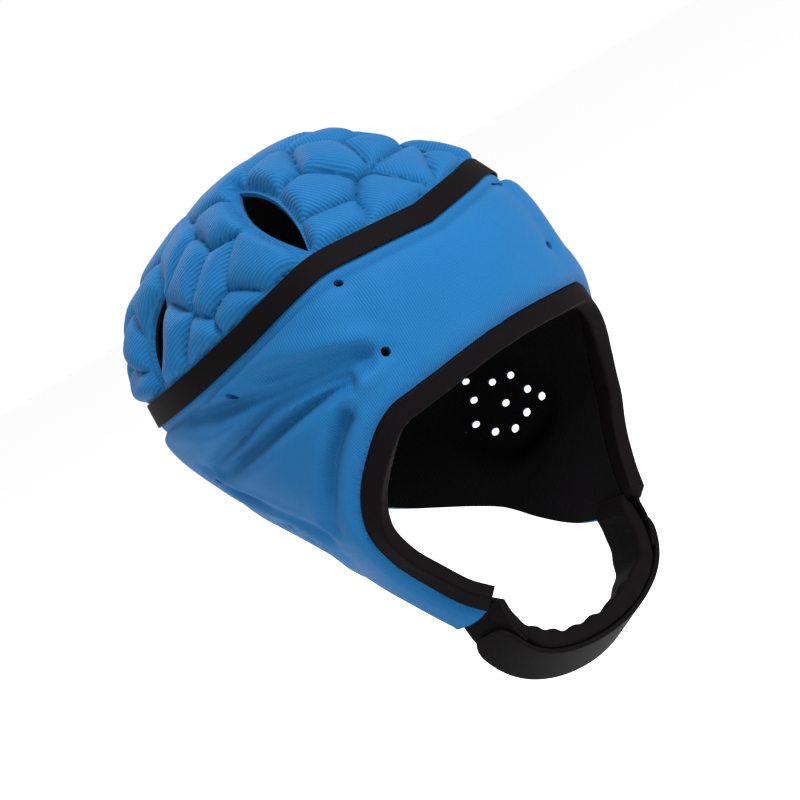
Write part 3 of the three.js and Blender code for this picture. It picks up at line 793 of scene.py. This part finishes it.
def round_hole(degrees, share, diameter, corners):
    """A loop in the flat panel that is a round hole of the given size once the panel is on the cap."""
    around, depth = math.radians(degrees), share * cap_depth
    step = mm
    here = form(around, depth)
    stretch_x = np.linalg.norm(form(around + step / flat_radius, depth) - here) / step
    stretch_y = np.linalg.norm(form(around, depth + step) - here) / step
    turn = np.arange(corners) * 2 * math.pi / corners
    middle = flat_side_points(degrees, share)
    return middle + diameter / 2 * np.stack([np.cos(turn) / stretch_x, np.sin(turn) / stretch_y], 1)


side_holes = [
    round_hole(side * turn, share, vent_diameter, 16) for turn, share in vents for side in (1, -1)
]
side_holes += [
    round_hole(side * turn, share, ear_hole_diameter, 12) for turn, share in ear_holes for side in (1, -1)
]
crease_lines = [
    {**crease, "line": spline(flat_side_points(side * turns + left, shares), crease_step)}
    for crease in creases
    for turns, shares in [np.array(crease["line"]).T]
    for side, left in ((1, crease.get("left", 0)), (-1, 0))
]
ear_middle = (117, 0.695)
ear_lift = 9.6 * mm
ear_radius = (19 * mm, 31 * mm)
ear_wall = 11.2 * mm
side_shoulder = 8 * mm
neck_shoulder = 5 * mm
neck_thinning = 3.4 * mm
crease_fade_length = 20 * mm
crease_end_share = 0.35
ridge_distance = 2.2
ridge_share = 0.16
hole_dimple = 1.5 * mm
vent_dimple_radius = 4 * mm
ear_dimple_radius = 2.8 * mm
foam_unevenness = 0.5 * mm
foam_unevenness_size = 60 * mm
seam_groove = 1.3 * mm
seam_groove_gap = 0.6 * mm


def smooth_step(low, high, value):
    """0 at low, 1 at high and an even curve between, whichever of the two is larger."""
    share = np.clip((value - low) / (high - low), 0, 1)
    return share * share * (3 - 2 * share)


def ear_share(points):
    """How far a flat point belongs to the thin cloth over an ear, from 0 to 1."""
    away = np.min([
        np.linalg.norm(points - flat_side_points(side * ear_middle[0], ear_middle[1]), axis=1)
        for side in (1, -1)
    ], 0)
    return 1 - smooth_step(ear_radius[0], ear_radius[1], away)


def side_inner(around, depth):
    """The thin cloth over an ear bulges outwards, so the inner face stands clear of the ear."""
    return ear_lift * ear_share(np.stack([around * flat_radius, depth - seam_depth(around)], 1))


def side_height(around, depth):
    """The side panel's thickness, less its pressed valleys, dimples round the holes and thin edges."""
    points = np.stack([around * flat_radius, depth - seam_depth(around)], 1)
    press = np.zeros(len(points))
    for crease in crease_lines:
        away = distance_to_line(points, crease["line"])
        to_end = np.linalg.norm(points - crease["line"][-1], axis=1)
        fade = crease_end_share + (1 - crease_end_share) * smooth_step(0, crease_fade_length, to_end)
        valley = np.exp(-((away / crease["width"]) ** 2))
        ridge = np.exp(-((away / crease["width"] - ridge_distance) ** 2))
        press += (crease["press"] - press).clip(0) * fade * valley
        press -= ridge_share * crease["press"] * fade * ridge
    to_holes = [np.linalg.norm(points - hole.mean(0), axis=1) for hole in side_holes]
    to_vent = np.min(to_holes[: 2 * len(vents)], 0)
    to_ear_hole = np.min(to_holes[2 * len(vents) :], 0)
    press += hole_dimple * np.exp(-((to_vent / vent_dimple_radius) ** 2))
    ear = ear_share(points)
    thin = ear_wall - hole_dimple * np.exp(-((to_ear_hole / ear_dimple_radius) ** 2))
    foam = padding + foam_unevenness * uneven(form(around, depth), foam_unevenness_size)
    pad = (foam - press) * (1 - ear) + thin * ear
    to_seam = points[:, 1] - tape_width / 2
    to_groove = to_seam - flange_width - seam_groove_gap
    groove = seam_groove * np.exp(-((to_groove / seam_groove) ** 2))
    to_face = distance_to_line(points, face_line)
    to_edge = np.minimum(to_seam - flange_width, to_face - 0.3 * flange_width)
    height = flange + (pad - flange) * swell(np.maximum(to_edge, 0), side_shoulder) - groove
    to_neck = np.min([distance_to_line(points, line) for line in neck_lines.values()], 0)
    return height - neck_thinning * (1 - swell(to_neck, neck_shoulder)) * (1 - 0.5 * ear)


padded_sides = panel_wall(
    "padded_sides", side_outline, side_holes, side_spacing, side_inner_spacing, side_place,
    side_inner, side_height,
)
straight_ribs(padded_sides)
finish_cloth(padded_sides, blue_knit, ["side_padding"])

# Lining
# Black open-knit cloth glued to the foam, which shows through the face opening and the slits.
lining_light = (0.0042, 0.0036, 0.0042)
lining_dark = (0.0016, 0.0013, 0.0016)
crown_lining_spacing = (3 * mm, 2.4 * mm)
side_lining_spacing = (3.4 * mm, 2.6 * mm)
lining_knit = ribbed_knit(
    "black_lining_knit", lining_light, lining_dark, 1.6 * mm, 0.2 * mm, roughness=0.95, sheen=0, gloss=0.04
)


def lining_side(height):
    """A height that follows the side panel's inner face."""
    return lambda around, depth: height + side_inner(around, depth)


crown_lining_cloth = panel_wall(
    "crown_lining_cloth", crown_outline, crown_holes, *crown_lining_spacing, crown_place,
    at_height(-gap - lining), at_height(-gap),
)
side_lining_cloth = panel_wall(
    "side_lining_cloth", side_outline, side_holes, *side_lining_spacing, side_place,
    lining_side(-gap - lining), lining_side(-gap),
)
for piece, node in ((crown_lining_cloth, "crown_lining"), (side_lining_cloth, "side_lining")):
    straight_ribs(piece)
    finish_cloth(piece, lining_knit, [node])

# Seam tape
# Black woven tape over the seam between crown and side panel, all round. It is stitched down on the flat
# flanges of both.
tape_low = flange + gap
tape_thickness = 1.1 * mm
tape_corner = 0.45 * mm
tape_rings = 520
tape_light = (0.003, 0.0019, 0.0026)
tape_dark = (0.001, 0.0006, 0.0009)


def swept(name, frames, section, closed):
    """A piece from a section of (across, up) points carried along frames of (at, across, up)."""
    at, across, up = frames
    section = np.asarray(section)
    count = len(at)
    if section.ndim == 2:
        section = np.repeat(section[None], count, 0)
    rings = at[:, None] + across[:, None] * section[:, :, :1] + up[:, None] * section[:, :, 1:]
    middle_section = section[count // 2]
    corners = middle_section.shape[0]
    reach = reach_along(np.concatenate([at, at[:1]]))
    girth = reach_along(np.concatenate([middle_section, middle_section[:1]]))
    faces, maps = [], []
    for i in range(count if closed else count - 1):
        for k in range(corners):
            j, n = (i + 1) % count, (k + 1) % corners
            faces.append((i * corners + k, j * corners + k, j * corners + n, i * corners + n))
            maps += [(reach[i], girth[k]), (reach[i + 1], girth[k])]
            maps += [(reach[i + 1], girth[k + 1]), (reach[i], girth[k + 1])]
    if not closed:
        for cap_row in (0, count - 1):
            faces.append(tuple(cap_row * corners + k for k in range(corners)))
            maps += [(reach[cap_row], girth[k]) for k in range(corners)]
    piece = new_piece(name, rings.reshape(-1, 3), faces)
    for layer in ("flat", "ribs"):
        piece.data.uv_layers.new(name=layer).data.foreach_set("uv", np.array(maps, np.float32).ravel())
    edit_whole(piece, lambda: bpy.ops.mesh.normals_make_consistent(inside=False))
    return piece


def rounded_section(left, right, low, high, radius, steps=4):
    """A flat strap's section with round corners."""
    points = []
    for x, y, start in (
        (right - radius, low + radius, -90),
        (right - radius, high - radius, 0),
        (left + radius, high - radius, 90),
        (left + radius, low + radius, 180),
    ):
        for step in range(steps + 1):
            turn = math.radians(start + 90 * step / steps)
            points.append((x + radius * math.cos(turn), y + radius * math.sin(turn)))
    return points


def with_middles(section, most):
    """The same section with extra points on its long straight runs."""
    dense = []
    for start, end in zip(section, section[1:] + section[:1]):
        count = max(1, math.ceil(math.dist(start, end) / most))
        dense += [
            (start[0] + (end[0] - start[0]) * k / count, start[1] + (end[1] - start[1]) * k / count)
            for k in range(count)
        ]
    return dense


def woven_tape(name, light, dark, rib_pitch, roughness, sheen, gloss):
    """Tight cross ribs along the tape with a faint warp, as on grosgrain."""
    material, tree, shader = blank_material(name, roughness, sheen, gloss)
    uv = add_node(tree, "ShaderNodeUVMap", {"uv_map": "ribs"}, {})
    along = add_node(tree, "ShaderNodeSeparateXYZ", {}, [uv], "X")
    across = add_node(tree, "ShaderNodeSeparateXYZ", {}, [uv], "Y")
    place = add_node(tree, "ShaderNodeTexCoord", {}, {}, "Object")
    rib = (along * (2 * math.pi / rib_pitch)).math("SINE") * 0.5 + 0.5
    warp = (across * (2 * math.pi / (1.3 * rib_pitch))).math("SINE") * 0.5 + 0.5
    fuzz = add_node(tree, "ShaderNodeTexNoise", {}, {"Vector": place, "Scale": 900.0, "Detail": 3.0})
    worn = add_node(tree, "ShaderNodeTexNoise", {}, {"Vector": place, "Scale": 30.0, "Detail": 2.0})
    # Painted shade: the colour darkens in the grooves between the ribs and the warp threads, mixed with
    # random tone from the fuzz and the worn noise.
    groove_shade_and_tone = rib * 0.3 + warp * 0.2 + fuzz * 0.25 + worn * 0.4
    colour = add_node(
        tree, "ShaderNodeMix", {"data_type": "RGBA"}, {0: groove_shade_and_tone, 6: (*dark, 1), 7: (*light, 1)}, 2
    )
    relief = rib * 0.5 + warp * 0.3 + fuzz * 0.3
    bump = add_node(
        tree, "ShaderNodeBump", {}, {"Strength": 0.6, "Distance": 0.18 * mm, "Height": relief}, "Normal"
    )
    tree.links.new(colour.socket, shader.inputs["Base Color"])
    tree.links.new(bump.socket, shader.inputs["Normal"])
    return material


black_tape = woven_tape(
    "black_woven_tape", tape_light, tape_dark, rib_pitch=0.9 * mm, roughness=0.65, sheen=0, gloss=0.03
)
tape_turns = np.arange(tape_rings) * 2 * math.pi / tape_rings


def seam_frames(turns):
    """Frames along the seam, all round the cap."""
    at = on_cap(turns, seam_depth(turns), 0 * turns)
    step = 0.02
    ahead = on_cap(turns + step, seam_depth(turns + step), 0 * turns)
    behind = on_cap(turns - step, seam_depth(turns - step), 0 * turns)
    along = ahead - behind
    up = outward(turns, seam_depth(turns))
    across = np.cross(along, up)
    return at, across / np.linalg.norm(across, axis=1, keepdims=True), up


tape_section = with_middles(rounded_section(
    -tape_width / 2, tape_width / 2, tape_low, tape_low + tape_thickness, tape_corner
), 2.5 * mm)
seam_tape_band = swept("seam_tape_band", seam_frames(tape_turns), tape_section, closed=True)
finish_cloth(seam_tape_band, black_tape, ["seam_tape"])

# Face binding
# A black binding folded over the raw edge of cloth, foam and lining, from one cheek tip over the brow to the
# other. It stands just proud of the blue cloth.
binding_width = 10 * mm
binding_overlap = 0.7 * mm
binding_corner = 1.4 * mm
binding_rings = 420


def face_frames(count):
    """Frames along the face edge, from the right cheek tip to the left one."""
    reach = reach_along(face_line)

    def cap_at(share):
        along = np.clip(share, 0, 1) * reach[-1]
        flat = np.stack([np.interp(along, reach, face_line[:, k]) for k in range(2)], 1)
        around, depth = side_place(flat)
        return on_cap(around, depth, 0 * around), outward(around, depth)

    shares = np.linspace(0, 1, count)
    step = 0.006
    at, up = cap_at(shares)
    along = cap_at(shares + step)[0] - cap_at(shares - step)[0]
    across = np.cross(along, up)
    return at, across / np.linalg.norm(across, axis=1, keepdims=True), up


binding_section = with_middles(rounded_section(
    gap, gap + binding_width, -gap - lining, flange + binding_overlap, binding_corner, 6
), 2 * mm)
face_binding_fold = swept("face_binding_fold", face_frames(binding_rings), binding_section, closed=False)
finish_cloth(face_binding_fold, black_tape, ["face_binding"])

# Chin loop
# A thin foam pad in soft black knit lies inside, two short anchors join it to the cheek tips, and the outer
# strap is fastened over both. It hangs as one whole loop.
anchor_thickness = 1.4 * mm
chin_pad_width = 27 * mm
chin_pad_thickness = 7 * mm
chin_drop = 40.5 * mm
chin_setback = 2 * mm
chin_tilt = math.radians(24)
chin_fullness = 2.6
chin_pad_seat = 1.2 * mm
strap_width = 25 * mm
strap_thickness = 2.4 * mm
chin_steps = 44
anchor_steps = 6
strap_inset = {"right": 2, "left": 1}
tuck_rings = 6
tuck_reach = 12 * mm
tuck_inset = 2.2 * mm


def cheek_tip(side):
    """The middle of the pad's end, under one cheek."""
    turn = side * math.radians((face_edge[-1, 0] + tip_back) / 2)
    depth = face_edge[-1, 1] * cap_depth + gap + chin_pad_thickness / 2 - chin_pad_seat
    return on_cap(np.array(turn), np.array(depth), 0)


def cheek_direction(side):
    """Forwards along the end of one cheek."""
    ends = [
        on_cap(np.array(side * math.radians(turn)), np.array(face_edge[-1, 1] * cap_depth), 0)
        for turn in (face_edge[-1, 0], tip_back)
    ]
    direction = ends[0] - ends[1]
    return direction / np.linalg.norm(direction)


tips = {side: cheek_tip(side) for side in (-1, 1)}
tip_directions = {side: cheek_direction(side) for side in (-1, 1)}
chin_forward = np.array((0, -math.cos(chin_tilt), math.sin(chin_tilt)))


def chin_points(shares):
    """The loop's middle line, from -1 at the right cheek tip to 1 at the left one."""
    angle = shares * math.pi / 2
    sink = np.maximum(np.cos(angle), 0)
    tip = np.where(shares[:, None] < 0, tips[-1], tips[1])
    return np.stack([
        np.abs(tip[:, 0]) * np.sin(angle),
        tip[:, 1] - chin_setback * sink,
        tip[:, 2] - chin_drop * sink ** (2 / chin_fullness),
    ], 1)


def tuck_direction(side):
    """Up the inside of the cheek, from the tip of the pad."""
    turn = np.array(side * math.radians((face_edge[-1, 0] + tip_back) / 2))
    low, high = (np.array(face_edge[-1, 1] * cap_depth - rise) for rise in (0, tuck_reach))
    direction = on_cap(turn, high, -tuck_inset) - on_cap(turn, low, 0)
    return direction / np.linalg.norm(direction)


tucks = {side: tuck_direction(side) for side in (-1, 1)}


def chin_frames(first, last, count, tuck=0):
    """Frames along the loop. A tuck carries them on beyond its ends, up the inside of the cheeks."""
    shares = np.linspace(2 * first / chin_steps - 1, 2 * last / chin_steps - 1, count)
    step = 0.01
    along = chin_points(np.minimum(shares + step, 1)) - chin_points(np.maximum(shares - step, -1))
    along /= np.linalg.norm(along, axis=1, keepdims=True)
    direction = np.where(shares[:, None] < 0, tip_directions[-1], tip_directions[1])
    forward = chin_forward + (direction - chin_forward) * shares[:, None] ** 2
    across = forward - along * (forward * along).sum(1, keepdims=True)
    across /= np.linalg.norm(across, axis=1, keepdims=True)
    at, up = chin_points(shares), np.cross(along, across)
    if tuck:
        rises = np.linspace(tuck, 0, tuck_rings, endpoint=False)[:, None]
        if first == 0:
            at = np.concatenate([at[0] + rises * tucks[-1], at])
            across, up = (np.concatenate([np.repeat(v[:1], tuck_rings, 0), v]) for v in (across, up))
        if last == chin_steps:
            at = np.concatenate([at, at[-1] + rises[::-1] * tucks[1]])
            across, up = (np.concatenate([v, np.repeat(v[-1:], tuck_rings, 0)]) for v in (across, up))
    return at, across, up


soft_light = (0.0028, 0.0021, 0.0025)
soft_dark = (0.001, 0.0007, 0.0009)
soft_knit = ribbed_knit(
    "black_soft_knit", soft_light, soft_dark, 1.3 * mm, 0.12 * mm, roughness=0.8, sheen=0, gloss=0.04
)
web_light = (0.0026, 0.0019, 0.0023)
web_dark = (0.0009, 0.0007, 0.0008)
strap_web = woven_tape(
    "black_strap_web", web_light, web_dark, rib_pitch=1.1 * mm, roughness=0.65, sheen=0, gloss=0.03
)
chin_pad_corner = 2.6 * mm
pad_section = with_middles(rounded_section(
    -chin_pad_width / 2, chin_pad_width / 2, -chin_pad_thickness, 0, chin_pad_corner, 6
), 1.5 * mm)
pad_rings = 260
pad_tuck = 6 * mm
pad_frames = chin_frames(0, chin_steps, pad_rings, pad_tuck)
pad_narrowing = 1.2 * mm
tuck_narrowing = 4 * mm
tuck_thinning = 0.55
scallop_size = 30 * mm
scallop_depth = 0.8 * mm
stitch_pitch = 14 * mm
stitch_puff = 0.14
free_thinning = 1.7 * mm


def uneven_along(reach, size):
    return uneven(np.stack([reach, 0 * reach, 0 * reach], 1), size)


def worn_pad(frames):
    """The pad narrows towards its tucked ends, puffs out between its stitches and is a little worn."""
    ring = np.arange(len(frames[0])) - tuck_rings
    share = np.abs(np.clip(2 * ring / (pad_rings - 1) - 1, -1, 1))
    reach = reach_along(frames[0])
    rings = np.repeat(np.array(pad_section)[None], len(ring), 0)
    front = np.clip(rings[:, :, 0] / (chin_pad_width / 2), -1, 1)
    tucked = np.clip(-np.minimum(ring, pad_rings - 1 - ring) / tuck_rings, 0, 1)[:, None]
    narrow = pad_narrowing * smooth_step(0.5, 1, share) + tuck_narrowing * tucked[:, 0]
    scallop = uneven_along(reach, scallop_size)
    scallop += 0.5 * np.sin(reach / stitch_pitch * 2 * math.pi)
    scallop *= 1 - share ** 4
    rings[:, :, 0] += smooth_step(0.2, 1, front) * (scallop_depth * scallop - narrow)[:, None]
    puff = 1 + stitch_puff * scallop[:, None]
    depth = rings[:, :, 1] / chin_pad_thickness
    rings[:, :, 1] *= puff * (1 - tuck_thinning * tucked)
    free_run = smooth_step(0.74, 0.6, share)[:, None]
    rings[:, :, 1] += free_thinning * free_run * (1 + depth)
    return rings


chin_pad_cloth = swept("chin_pad_cloth", pad_frames, worn_pad(pad_frames), closed=False)
finish_cloth(chin_pad_cloth, soft_knit, ["chin_pad"])

anchor_low = gap
anchor_section = with_middles(rounded_section(
    -cheek_tip_width / 2, cheek_tip_width / 2, anchor_low, anchor_low + anchor_thickness, 0.5 * mm
), 2 * mm)
anchor_tuck = 2.4 * mm
anchor_rings = 40
widening_at_tip = 0.45
widening_lost = 0.3
binding_reach = gap + binding_width
anchor_runs = {"right": (0, anchor_steps), "left": (chin_steps - anchor_steps, chin_steps)}
for side, (first, last) in anchor_runs.items():
    wing_frames = chin_frames(first, last, anchor_rings, anchor_tuck)
    wing_rings = np.repeat(np.array(anchor_section)[None], len(wing_frames[0]), 0)
    from_tip = np.linspace(0, 1, len(wing_rings))
    if side == "left":
        from_tip = from_tip[::-1]
    forward = smooth_step(0, cheek_tip_width / 2, wing_rings[:, :, 0])
    widening = binding_reach * (widening_at_tip - widening_lost * from_tip)
    wing_rings[:, :, 0] += forward * widening[:, None]
    wing = swept(f"strap_anchor_{side}_wing", wing_frames, wing_rings, closed=False)
    finish_cloth(wing, strap_web, [f"strap_anchor_{side}"])

strap_low = anchor_low + anchor_thickness + gap
strap_section = with_middles(rounded_section(
    -strap_width / 2, strap_width / 2, strap_low, strap_low + strap_thickness, 0.9 * mm, 5
), 1.5 * mm)
strap_ring_count = 240
strap_frames = chin_frames(strap_inset["right"], chin_steps - strap_inset["left"], strap_ring_count)
strap_reach = reach_along(strap_frames[0])
to_strap_end = np.minimum(strap_reach, strap_reach[-1] - strap_reach)
strap_corner = 9 * mm
strap_end_share = 0.35
strap_sway = 0.8 * mm
strap_sway_size = 45 * mm
rounding = np.sqrt(1 - (1 - np.clip(to_strap_end / strap_corner, 0, 1)) ** 2)
strap_rings = np.repeat(np.array(strap_section)[None], strap_ring_count, 0)
strap_rings[:, :, 0] *= (strap_end_share + (1 - strap_end_share) * rounding)[:, None]
strap_rings[:, :, 0] += strap_sway * uneven_along(strap_reach, strap_sway_size)[:, None]
chin_strap_web = swept("chin_strap_web", strap_frames, strap_rings, closed=False)
finish_cloth(chin_strap_web, strap_web, ["chin_strap"])
